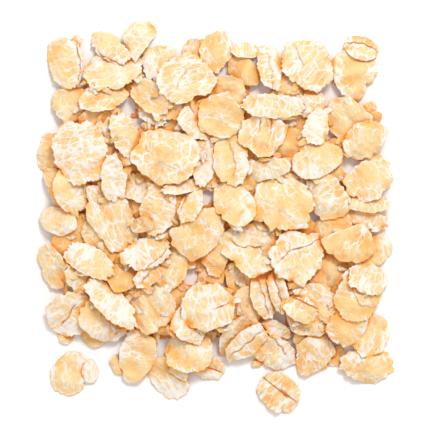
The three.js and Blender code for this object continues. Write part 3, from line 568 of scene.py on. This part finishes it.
def pattern_places(flake, u, v, p, q, random):
    """Where each point lies in the pattern of cracks, in mm. A streaked flake's pattern is drawn out along
    its length, and others' across it, like bricks. A radial one's is wrapped round a post, so that its
    cracks run outwards from near its middle. The less a way is scaled, the longer cracks run along it."""
    start = random.uniform(-40, 40, 3)
    if flake.kind == "radial":
        angle = np.arctan2(q + 0.25, p + 0.1)
        out = np.hypot(u, v)
        grain = np.stack([POST * np.cos(angle), POST * np.sin(angle), 0.62 * out], -1)
    elif flake.kind == "streaked" and not flake.banded:
        grain = np.stack([0.45 * u, 1.15 * v, np.zeros_like(u)], -1)
    else:
        stretch = 0.4 if flake.banded else random.uniform(0.4, 0.75)
        grain = np.stack([1.1 * u, stretch * (v + 0.06 * u * u), np.zeros_like(u)], -1)
    return grain + start


def flake_surface(flake, ground, sectors, rings, rim_steps=3, under_rings=4):
    """One flake as a closed surface on a polar grid. A ring at a share of the way out lies at that share
    of the outline's reach, where notches count only near the rim. Its height is the settled plane, plus
    bend, waves, and creases as grooves with a raised lip, plus or minus half the thickness, which falls
    towards the rim and closes there in a half round. Every point also gets what LOOKS names."""
    random = np.random.default_rng(int(round(flake.seed * 100)) + int(round(1000 * (flake.x + 50))))
    angle = np.arange(sectors) / sectors * TAU
    out, half = section(rings, rim_steps, under_rings)
    far = broken_outline(flake, angle, random)
    share = out[:, None] * far - smooth_step(0.55, 1, out)[:, None] * notches(flake, angle, random)
    share = np.vstack([np.zeros(sectors), share, np.zeros(sectors)])
    half = np.concatenate([[1], half, [-1]])[:, None]
    out = np.concatenate([[0], out, [0]])[:, None]
    p, q = share * np.cos(angle), share * np.sin(angle)
    u, v = p * flake.length / 2, q * (1 + flake.taper * p) * flake.width / 2
    x, y = place(flake, p, q)

    middle = flake.level + flake.along_x * (x - flake.x) + flake.along_y * (y - flake.y) + bend(flake, p, q)
    waves = ripples(random, u, v, longest=7, shortest=3, count=5)
    middle += WAVINESS * waves
    apart, phase, bow = random.uniform(1.7, 2.8), random.uniform(0, TAU), random.uniform(-0.05, 0.05)
    if flake.kind in ("streaked", "creased"):
        middle += RIDGES * np.cos(TAU * (v + bow * u * u) / apart + phase)
    middle += RIM_WAVE * waves_round(random, angle, (2, 3, 5)) * smooth_step(0.6, 1, out)

    seam, crease = np.full_like(x, SEAM_FAR), np.zeros_like(x)
    groove, crease_light = np.zeros_like(x), np.zeros_like(x)
    lines = flake.creases
    if flake.kind == "creased" and not lines:
        lines = [[place(flake, -0.85, 0.03), place(flake, -0.2, -0.05), place(flake, 0.85, 0.04)]]
    wander = CREASE_WANDER * ripples(random, u, v, longest=3.5, shortest=1.8, count=3)
    for line in lines:
        signed, from_end = distance_to_line(x, y, line)
        side, signed = np.sign(signed), signed + wander
        away = np.abs(signed)
        cut = np.exp(-((away / CREASE_HALF) ** 2))
        lip = side * np.exp(-((away / LIP_HALF) ** 2)) * LIP_RISE
        middle += lip - CREASE_DEPTH * cut
        groove = np.maximum(groove, cut)
        crease_light = np.maximum(crease_light, np.exp(-((away / WHITE_HALF) ** 2)))
        crease = np.where(away < np.abs(seam), smooth_step(0, CREASE_FADE, from_end), crease)
        seam = np.where(away < np.abs(seam), signed, seam)
    crease *= 1 - smooth_step(CREASE_NEAR, CREASE_GONE, np.abs(seam))

    thick = FLAKE_THICKNESS + (RIM_THICKNESS - FLAKE_THICKNESS) * smooth_step(0.5, 1, out)
    height = middle + half * flake.thick * thick / 2
    bumps = ripples(random, u, v, longest=1.9, shortest=0.9, count=6)
    height += RELIEF * (0.6 + flake.starch) * bumps * np.clip(half, 0, 1)
    height = np.maximum(height, FLOOR_GAP + LEAST_HALF * np.clip(half + 1, 0, 2))

    starch = np.full_like(x, flake.starch)
    if flake.white is not None:
        heading = np.radians(flake.white) - flake.turn
        starch += WHITE_SIDE * smooth_step(0.05, 0.75, p * np.cos(heading) + q * np.sin(heading))
    fringe = waves_round(random, angle, (1, 2, 3, 5))
    starch += WHITE_RIM * smooth_step(-0.4, 1.6, fringe + flake.starch) * smooth_step(0.74, 1, out)
    starch += WHITE_CREASE * crease_light * (1 - groove)
    if flake.pale:
        crease = PALE * crease
    if flake.kind == "radial":
        starch -= 0.15 * (1 - smooth_step(0.1, 0.55, out))
    # rim: the thin edge and the whole underside, which the material lays over with orange, partly as the
    # bran's own edge and partly as painted shade where these lie in shadow.
    rim = smooth_step(ROUNDED, 1, out) * (half < 0.98)
    rim = np.where(half < -0.5, 1, rim)
    lean = random.uniform(0, TAU)
    # Painted shade: the tone rises where the face's waves dip, so its hollows come out oranger; the drift
    # towards a seeded side is the flake's own.
    tone = flake.tone - TONE_DRIFT * waves + TONE_DRIFT * (p * np.cos(lean) + q * np.sin(lean))
    if flake.spot:
        away = np.hypot(x - flake.spot[0], y - flake.spot[1])
        tone = tone + SPOT_DARK * np.exp(-((away / SPOT_HALF) ** 2))
    grain = pattern_places(flake, u, v, p, q, random)

    points = np.stack([x, y, height], -1)
    shade = shade_among(ground, points)
    rim = np.broadcast_to(rim, x.shape)
    looks = np.stack([tone, np.clip(starch, 0, 1.2), crease, seam, rim, shade], -1)
    return closed_grid(points, grain, looks)


# What the material reads at each vertex, 0 to 1: tone and starch as in the tables, crease: how strongly a
# crease shows, rim: the thin edge and underside, shade: how far others hem it in, by which the material
# paints shade. seam: mm to a crease.
LOOKS = ("tone", "starch", "crease", "seam", "rim", "shade")


def closed_grid(points, grain, looks):
    """Joins a grid of rings that starts and ends at a pole: quads between rings, and a fan at each pole.
    Returns the vertices, the triangles that point outwards, and the values at each vertex."""
    rings, sectors = points.shape[:2]
    keep = np.ones((rings, sectors), bool)
    keep[[0, -1], 1:] = False
    number = np.cumsum(keep.ravel()).reshape(rings, sectors) - 1
    number[0], number[-1] = number[0, 0], number[-1, 0]
    here, beside = number, np.roll(number, -1, axis=1)
    lower = np.stack([here[:-1], here[1:], beside[1:]], -1).reshape(-1, 3)
    upper = np.stack([here[:-1], beside[1:], beside[:-1]], -1).reshape(-1, 3)
    faces = np.concatenate([lower, upper])
    distinct = (faces[:, 0] != faces[:, 1]) & (faces[:, 1] != faces[:, 2]) & (faces[:, 0] != faces[:, 2])
    flat = [grid.reshape(rings * sectors, -1)[keep.ravel()] for grid in (points, grain, looks)]
    return flat[0], faces[distinct], flat[1], flat[2]


# ---- Meshes ----


def add_object(name, data):
    """Puts an object with this mesh, lamp or camera into the scene."""
    made = bpy.data.objects.new(name, data)
    bpy.context.scene.collection.objects.link(made)
    return made


def joined_piece(name, surfaces, material):
    """One mesh object of many closed surfaces, with the pattern places and looks as point attributes."""
    points, faces, grain, looks = zip(*surfaces)
    starts = np.cumsum([0] + [len(own) for own in points])
    faces = np.concatenate([own + start for own, start in zip(faces, starts)])
    points, grain, looks = np.concatenate(points) * MM, np.concatenate(grain), np.concatenate(looks)
    mesh = bpy.data.meshes.new(name)
    mesh.vertices.add(len(points))
    mesh.vertices.foreach_set("co", points.astype(np.float32).ravel())
    mesh.loops.add(3 * len(faces))
    mesh.loops.foreach_set("vertex_index", faces.astype(np.int32).ravel())
    mesh.polygons.add(len(faces))
    mesh.polygons.foreach_set("loop_start", np.arange(0, 3 * len(faces), 3, dtype=np.int32))
    mesh.update(calc_edges=True)
    mesh.validate()
    attribute = mesh.attributes.new("grain", "FLOAT_VECTOR", "POINT")
    attribute.data.foreach_set("vector", grain.astype(np.float32).ravel())
    for column, label in enumerate(LOOKS):
        attribute = mesh.attributes.new(label, "FLOAT", "POINT")
        attribute.data.foreach_set("value", looks[:, column].astype(np.float32))
    mesh.polygons.foreach_set("use_smooth", np.ones(len(faces), bool))
    mesh.materials.append(material)
    return add_object(name, mesh)


# ---- Materials ----


def linear(hex_colour):
    """An sRGB hex colour as linear RGBA: v / 12.92 below 0.04045, else ((v + 0.055) / 1.055)^2.4."""
    parts = np.array([int(hex_colour[i:i + 2], 16) for i in (1, 3, 5)]) / 255
    low, high = parts / 12.92, ((parts + 0.055) / 1.055) ** 2.4
    return (*np.where(parts <= 0.04045, low, high), 1.0)


def add(tree, kind, inputs=(), **settings):
    """Adds a shader node. inputs maps a socket's name or number to a value or to a socket of another."""
    made = tree.nodes.new("ShaderNode" + kind)
    for label, value in settings.items():
        setattr(made, label, value)
    for label, value in dict(inputs).items():
        if isinstance(value, bpy.types.NodeSocket):
            tree.links.new(value, made.inputs[label])
        else:
            made.inputs[label].default_value = value
    return made


BRAN_CREAM = "#EED5A6"
BRAN_TAN = "#EAC587"
BRAN_ORANGE = "#E4A960"
FLOUR = "#E7DFD4"
WARM_SHADE = "#F5B358"
DEEP_SHADE = "#EE8E38"
CREASE_BROWN = "#C56F34"
CRACKS_PER_MM = 0.72  # cracks about 1.4 mm apart
FINER = 2.2  # how many times as close the finer cracks are
PATCHY = 1.7  # how much the flour comes and goes over a flake
GAPE_FROM, GAPE = 0.27, 0.27  # cracks open above this much flour, and by so many mm per 1
RIM_SHARE = 0.6  # how much orange the rim and underside show, partly the bran's own edge colour and partly painted shade
DEEP_SHARE = 0.85  # the same for the painted shades and the creases


def rolled_wheat():
    """Steamed wheat kernels rolled flat: a matt bran skin, tan to orange, that cracked into small islands
    over chalk-white starch. The eye sees a pale net that fades in and out, and warm orange depths, which
    are painted shade laid over the colour where the flakes hem a place in, standing in for light that comes
    through the thin flakes; nothing shines."""
    material = bpy.data.materials.new("rolled_wheat_bran_over_starch")
    material.use_nodes = True
    tree = material.node_tree
    tree.nodes.clear()

    def value_of(label):
        return add(tree, "Attribute", attribute_name=label).outputs["Fac"]

    def math(operation, *values, clamp=False):
        return add(tree, "Math", dict(enumerate(values)), operation=operation,
                   use_clamp=clamp).outputs[0]

    def noise(vector, scale, detail=2.0):
        return add(tree, "TexNoise", dict(Vector=vector, Scale=scale, Detail=detail))

    def varied(value, by, scale, detail=2.0):
        about_zero = math("SUBTRACT", noise(grain, scale, detail).outputs[0], 0.5)
        return math("MULTIPLY_ADD", about_zero, by, value)

    def step(value, low, high):
        return add(tree, "MapRange", {0: value, 1: low, 2: high},
                   interpolation_type="SMOOTHSTEP").outputs[0]

    def from_crack(vector, per_mm, randomness):
        edge = add(tree, "TexVoronoi", dict(Vector=vector, Scale=per_mm, Randomness=randomness),
                   feature="DISTANCE_TO_EDGE").outputs["Distance"]
        return math("DIVIDE", edge, per_mm)

    def blend_colours(factor, a, b):
        return add(tree, "Mix", {0: factor, 6: a, 7: b}, data_type="RGBA").outputs[2]

    def lay_over(under, hex_colour, where, share):
        return blend_colours(math("MULTIPLY", where, share), under, linear(hex_colour))

    grain = add(tree, "Attribute", attribute_name="grain").outputs["Vector"]
    warp = noise(grain, 0.8).outputs["Color"]
    push = add(tree, "VectorMath", {0: warp, 1: (-0.5, -0.5, -0.5)}, operation="ADD").outputs[0]
    push = add(tree, "VectorMath", {0: push, 3: 1.1}, operation="SCALE").outputs[0]
    warped = add(tree, "VectorMath", {0: grain, 1: push}, operation="ADD").outputs[0]

    # How far each place is from the nearest crack, in mm, and how wide the cracks gape there.
    roughened = varied(from_crack(warped, CRACKS_PER_MM, 0.8), by=0.22, scale=3.0, detail=3.0)
    floury = varied(value_of("starch"), by=PATCHY, scale=0.36)
    gape = math("MULTIPLY", math("SUBTRACT", floury, GAPE_FROM), GAPE)
    island = step(math("SUBTRACT", roughened, gape), -0.04, 0.08)
    finer = math("MULTIPLY", math("SUBTRACT", floury, 0.3), 0.12)
    scale = step(math("SUBTRACT", from_crack(warped, FINER * CRACKS_PER_MM, 1.0), finer), -0.03, 0.06)
    skin_share = math("MULTIPLY", island, math("MULTIPLY_ADD", scale, 0.45, 0.55))

    # The skin's own colour from its tone, deeper where the tone carries painted shade in the face's dips,
    # and orange at its edges and underside, partly the bran's own and partly painted shade.
    mottled = varied(value_of("tone"), by=0.7, scale=0.8, detail=3.0)
    skin = blend_colours(step(mottled, 0.0, 0.5), linear(BRAN_CREAM), linear(BRAN_TAN))
    skin = blend_colours(step(mottled, 0.45, 1.05), skin, linear(BRAN_ORANGE))
    colour = blend_colours(skin_share, linear(FLOUR), skin)
    # Orange on the rim and underside: partly the bran's own edge, partly painted shade.
    colour = lay_over(colour, BRAN_ORANGE, value_of("rim"), RIM_SHARE)
    # Painted shade: warm orange where the flakes about a place hem it in, and a deeper orange right under a
    # flake.
    shade = value_of("shade")
    colour = lay_over(colour, WARM_SHADE, step(shade, 0.08, 0.5), DEEP_SHARE)
    colour = lay_over(colour, DEEP_SHADE, step(shade, 0.6, 1.0), DEEP_SHARE)
    uneven = varied(math("ABSOLUTE", value_of("seam")), by=0.35, scale=1.6)
    line = math("SUBTRACT", value_of("crease"), step(uneven, 0.04, 0.17), clamp=True)
    colour = lay_over(colour, CREASE_BROWN, line, DEEP_SHARE)

    # Specks of flour on the skin, and a grainy face in which the skin stands over the starch.
    fine = noise(grain, 5.5, 4.0).outputs[0]
    colour = lay_over(colour, FLOUR, step(fine, 0.54, 0.74), 0.3)
    relief = math("MULTIPLY_ADD", island, 0.4, fine)
    bump = add(tree, "Bump", dict(Height=relief, Strength=1.0, Distance=0.1 * MM))
    shader = add(tree, "BsdfPrincipled", {
        "Base Color": colour, "Roughness": 0.82, "IOR": 1.45, "Specular IOR Level": 0.3,
        "Subsurface Weight": 0.12, "Subsurface Radius": (1.0, 0.5, 0.2), "Subsurface Scale": 0.6 * MM,
        "Normal": bump.outputs[0],
    })
    add(tree, "OutputMaterial", dict(Surface=shader.outputs[0]))
    return material


# ---- The pieces ----

HIDDEN_STEP = 5.2  # from one hidden flake to the next, mm
HIDDEN_REACH = 31  # how far the layers' grid runs each way from the middle, mm
HIDDEN_LEVELS = (0.42, 0.86, 1.25)  # heights of the middles of the hidden layers, mm
HIDDEN_MOVED = 1.2  # how far a hidden flake is moved by chance each way, mm
HIDDEN_SHARE = 0.87  # they lie within this share of the core's outline
HIDDEN_CLEAR = 1.5  # and their middles at least this far from an open gap, mm
CRUMBS = 2000  # tried places for crumbs
CRUMB_HEMMED = 0.16  # crumbs lie where the flakes about hem them in at least this much
CRUMB_LOWEST = 0.6  # and on something at least this high, mm
CRUMB_THICK = 0.35  # thickness of a crumb as a share of a flake's
CRUMB_RAISED = 0.1  # its middle lies this far above what is under it, mm
CORE_TOP, CORE_RIPPLE = 0.45, 0.07  # height of the core and of its ripples, mm
CORE_COLUMN = 0.8  # width of a square column of the core, mm
CORE_REACH = 45  # columns from the middle each way


def visible_surface(flake, ground):
    """A flake that shows, with a grid as fine as its size and its creases ask for."""
    sectors, rings = 40, 10
    if flake.creases or flake.kind == "creased":
        sectors, rings = 112, 32
    elif flake.length >= BIG:
        sectors, rings = 84, 24
    elif flake.length >= SMALL:
        sectors, rings = 60, 16
    return flake_surface(flake, ground, sectors, rings)


def hidden_flakes():
    """The flakes inside the heap, of which only bits show in the gaps: layers on a square grid, each
    flake moved, turned and sized by chance, and cut straight where it would reach over an open gap."""
    made = []
    for layer, level in enumerate(HIDDEN_LEVELS):
        lines = np.arange(-HIDDEN_REACH, HIDDEN_REACH, HIDDEN_STEP) + layer * HIDDEN_STEP / 3
        for number, (x, y) in enumerate((x, y) for x in lines for y in lines):
            seed = 1000 * layer + number + 0.5
            x = x + 2 * HIDDEN_MOVED * chance(seed, 1) - HIDDEN_MOVED
            y = y + 2 * HIDDEN_MOVED * chance(seed, 2) - HIDDEN_MOVED
            gaps = [(np.degrees(np.arctan2(gap_y - y, gap_x - x)), np.hypot(gap_x - x, gap_y - y) - radius)
                    for gap_x, gap_y, radius in FLOOR_GAPS]
            nearest = min(clear for _, clear in gaps)
            if out_on_core(CORES[0], x, y) > HIDDEN_SHARE or nearest < HIDDEN_CLEAR:
                continue
            cuts = [(facing, clear - 0.2) for facing, clear in gaps if clear < 5]
            row = (x, y, 7.6 + 2 * chance(seed, 3), 5.4 + 1.6 * chance(seed, 4), 360 * chance(seed, 5),
                   "smooth", 0.5 + 0.5 * chance(seed, 6), 0.4 * chance(seed, 7), dict(cuts=cuts))
            flake = read_flake(row)
            flake.level = level
            made.append(flake)
    return made


def crumbs(ground):
    """Broken bits that came to rest in the crevices of the heap: seeded places inside its outline, kept
    where the flakes about them hem them in and the open floor isn't near, lying on what is below."""
    random = np.random.default_rng(11)
    made = []
    for _ in range(CRUMBS):
        x, y = random.uniform(-33, 33), random.uniform(-28, 34)
        length, width = random.uniform(1.3, 2.2) / random.uniform(0.45, 1), random.uniform(0.7, 1.7)
        turn, tone, starch = random.uniform(0, 360), random.uniform(0.5, 1.1), random.uniform(-0.5, 1.3)
        slopes = random.uniform(-0.4, 0.4, 2)
        level = height_at(ground, x, y)
        hemmed = shade_among(ground, np.array([x, y, level + CRUMB_RAISED]))
        inside = on_core(x, y, share=0.97, margin=0.8)
        if hemmed < CRUMB_HEMMED or level < CRUMB_LOWEST or not inside:
            continue
        flake = read_flake((x, y, length, width, turn, "starchy", tone, starch, dict(rounded=0)))
        flake.dish, flake.curl, flake.thick = 0, 0, CRUMB_THICK
        flake.along_x, flake.along_y = slopes
        flake.level = level + CRUMB_RAISED
        made.append(flake)
    return made


def core_surface():
    """The heap's own core: a closed low slab of square columns under the hidden flakes. Its top is a
    height over x and y, CORE_TOP and seeded ripples; its sides are upright."""
    lines = np.arange(-CORE_REACH, CORE_REACH + 1) * CORE_COLUMN
    x, y = np.meshgrid(lines, lines)
    middle_x, middle_y = x[:-1, :-1] + CORE_COLUMN / 2, y[:-1, :-1] + CORE_COLUMN / 2
    covered = on_core(middle_x, middle_y, share=0.95, margin=0.8)
    random = np.random.default_rng(7)
    top = CORE_TOP + CORE_RIPPLE * ripples(random, x, y, longest=7, shortest=2, count=8)
    points = np.stack([np.stack([x, y, z], -1) for z in (top, 0 * x + FLOOR_GAP)]).reshape(-1, 3)
    side = len(lines)
    corner = np.arange(side**2).reshape(side, side)
    low = side**2
    a, b, c, d = corner[:-1, :-1], corner[:-1, 1:], corner[1:, 1:], corner[1:, :-1]
    quads = [np.stack([a, b, c, d], -1)[covered], np.stack([d, c, b, a], -1)[covered] + low]
    padded = np.pad(covered, 1)
    for ends, beyond in (((a, b), padded[:-2, 1:-1]), ((b, c), padded[1:-1, 2:]),
                         ((c, d), padded[2:, 1:-1]), ((d, a), padded[1:-1, :-2])):
        edge = covered & ~beyond
        start, end = ends[0][edge], ends[1][edge]
        quads.append(np.stack([end, start, start + low, end + low], -1))
    quads = np.concatenate(quads)
    faces = np.concatenate([quads[:, [0, 1, 2]], quads[:, [0, 2, 3]]])
    used, faces = np.unique(faces, return_inverse=True)
    points = points[used]
    # The core is given full shade, so the material paints it with the deep painted shade colour.
    inside = dict(tone=0.9, starch=0.1, crease=0.0, seam=SEAM_FAR, rim=0.0, shade=1.0)
    looks = np.tile([inside[label] for label in LOOKS], (len(points), 1))
    return points, faces.reshape(-1, 3), points.copy(), looks


wheat = rolled_wheat()
pieces = {
    "heap_flakes_" + kind: [visible_surface(flake, heap_map) for flake in heap_flakes if flake.kind == kind]
    for kind in KINDS
}
pieces["heap_flakes_hidden"] = [
    flake_surface(flake, heap_map, sectors=28, rings=6, rim_steps=2, under_rings=2)
    for flake in hidden_flakes()
]
pieces["heap_crumbs"] = [
    flake_surface(flake, heap_map, sectors=24, rings=5, rim_steps=2, under_rings=1)
    for flake in crumbs(heap_map)
]
pieces["heap_core"] = [core_surface()]
for name, surfaces in pieces.items():
    piece = joined_piece(name, surfaces, wheat)
    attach(piece, "root")
    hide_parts("flake_heap")
for name, flake in stray_flakes.items():
    piece = joined_piece(name + "_rolled", [visible_surface(flake, stray_map)], wheat)
    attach(piece, "root")
    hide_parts(name)

# ---- Floor, light and camera ----

VIEW_WIDTH = 86  # what the picture shows across, mm
VIEW_MIDDLE_Y = 0.4  # what its middle shows, mm from the heap's
VIEW_HEIGHT = 2.0  # the level at which it is that wide, mm
LENS, SENSOR = 200, 36  # mm


def add_floor():
    """A plain white paper surface: matt, so that it shows only soft shadows."""
    half = 1.5
    mesh = bpy.data.meshes.new("floor")
    corners = [(-half, -half, 0), (half, -half, 0), (half, half, 0), (-half, half, 0)]
    mesh.from_pydata(corners, [], [(0, 1, 2, 3)])
    material = bpy.data.materials.new("white_paper")
    material.use_nodes = True
    shader = material.node_tree.nodes["Principled BSDF"]
    shader.inputs["Base Color"].default_value = linear("#F6F4F1")
    shader.inputs["Roughness"].default_value = 0.9
    shader.inputs["Specular IOR Level"].default_value = 0.1
    mesh.materials.append(material)
    floor = add_object("floor", mesh)


def add_light():
    """A soft lamp from the far right, over an even white sky."""
    lamp = bpy.data.lights.new("soft_lamp", "AREA")
    lamp.size = 0.2
    lamp.energy = 3.3
    lamp.color = (0.985, 0.99, 1.0)
    holder = add_object("soft_lamp", lamp)
    holder.location = (0.16, 0.42, 0.6)
    holder.rotation_mode = "QUATERNION"
    holder.rotation_quaternion = holder.location.to_track_quat("Z", "Y")
    world = bpy.data.worlds.new("white_sky")
    world.use_nodes = True
    background = world.node_tree.nodes["Background"]
    background.inputs["Color"].default_value = (1.0, 1.0, 1.0, 1.0)
    background.inputs["Strength"].default_value = 0.86
    bpy.context.scene.world = world


def add_camera():
    """A camera straight above the heap, far enough for little perspective."""
    camera = bpy.data.cameras.new("camera")
    camera.lens = LENS
    camera.sensor_width = SENSOR
    camera.clip_start = 0.01
    holder = add_object("camera", camera)
    distance = VIEW_WIDTH * LENS / SENSOR
    holder.location = (0, VIEW_MIDDLE_Y * MM, (VIEW_HEIGHT + distance) * MM)
    bpy.context.scene.camera = holder


add_floor()
add_light()
add_camera()
bpy.context.scene.view_settings.view_transform = "Standard"
bpy.context.scene.view_settings.look = "None"
